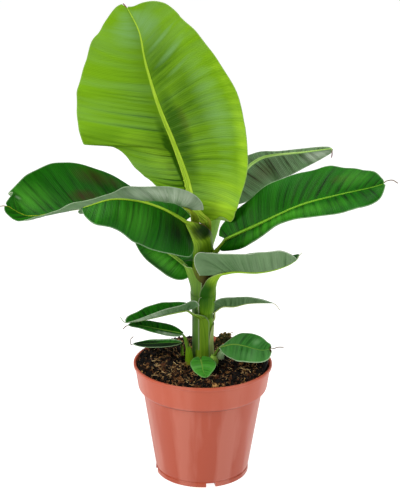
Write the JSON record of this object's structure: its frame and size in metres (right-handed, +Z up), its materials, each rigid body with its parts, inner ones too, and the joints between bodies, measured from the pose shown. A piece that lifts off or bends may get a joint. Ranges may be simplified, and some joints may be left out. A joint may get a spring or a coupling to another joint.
{
  "type": "potted banana plant",
  "caption": "Young banana plant with a thick leafy stem, broad arching leaves and side shoots, growing in a terracotta-coloured nursery pot.",
  "frame": {"origin": "on the pot's axis, in its flat underside", "axes": "+Z up the stem; -Y towards the front, where the low front leaf hangs; +X to the right seen from the front"},
  "size_m": [0.3626, 0.1978, 0.4693],
  "materials": {
    "pot": "satin moulded plastic",
    "soil": "rough crumbly peat",
    "stem": "satin, finely ribbed",
    "bud": "satin, pale",
    "young_leaf": "satin, ribbed",
    "leaf": "satin, ribbed"
  },
  "bodies": {
    "root": {"pot": "pot", "soil": "soil", "pseudostem": "stem", "shoot_left": "stem", "shoot_right": "stem", "bud_right": "bud", "leaf_upright": "young_leaf", "leaf_left": "leaf", "leaf_front_left": "leaf", "leaf_back_right": "leaf", "leaf_right": "leaf", "leaf_lower_right": "leaf", "leaf_lower_left": "leaf", "leaf_small_left": "leaf", "leaf_small_right": "leaf", "leaf_shoot_left": "leaf", "leaf_low_left": "leaf", "leaf_shoot_right": "leaf", "leaf_front_low": "leaf"}
  },
  "joints": []
}
